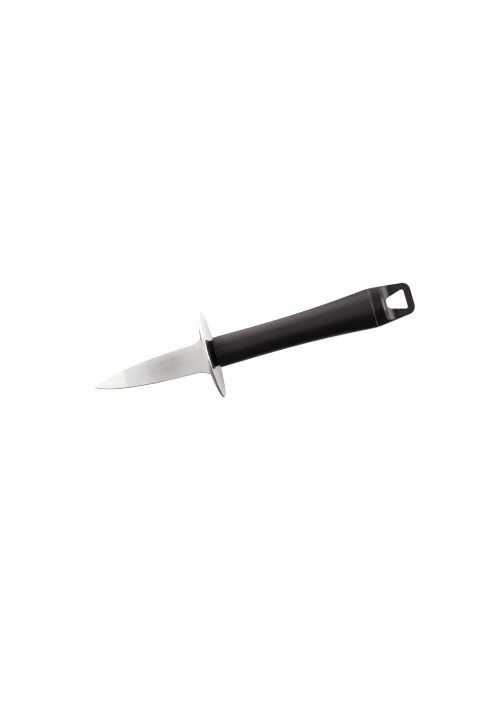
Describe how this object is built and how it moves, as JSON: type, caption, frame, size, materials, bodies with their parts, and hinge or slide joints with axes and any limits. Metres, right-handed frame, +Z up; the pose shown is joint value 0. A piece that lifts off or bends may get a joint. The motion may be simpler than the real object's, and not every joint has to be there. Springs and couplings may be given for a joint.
{
  "type": "oyster knife",
  "caption": "Short spear-shaped blade with a dished round hand guard and a waisted moulded handle that ends in a flat hanging loop.",
  "frame": {"origin": "On the table under the middle of the knife as it lies at rest on the lower flat of its guard's rim and the ridge of its end cap", "axes": "+Z up from the table. +X runs along the knife from the blade's point to the hanging loop, which dips 8.3 degrees towards the table because the guard lifts the front. The flat of the blade faces up."},
  "size_m": [0.1982, 0.0548, 0.0535],
  "materials": {
    "blade_steel": "satin ground stainless steel",
    "guard_steel": "satin rolled stainless steel",
    "core_plastic": "smooth moulded black plastic",
    "grip_plastic": "fine matt texture moulded in black plastic",
    "cap_plastic": "satin moulded black plastic"
  },
  "bodies": {
    "root": {"blade": "blade_steel", "guard": "guard_steel", "handle_core": "core_plastic", "grip": "grip_plastic", "end_cap": "cap_plastic"}
  },
  "joints": []
}
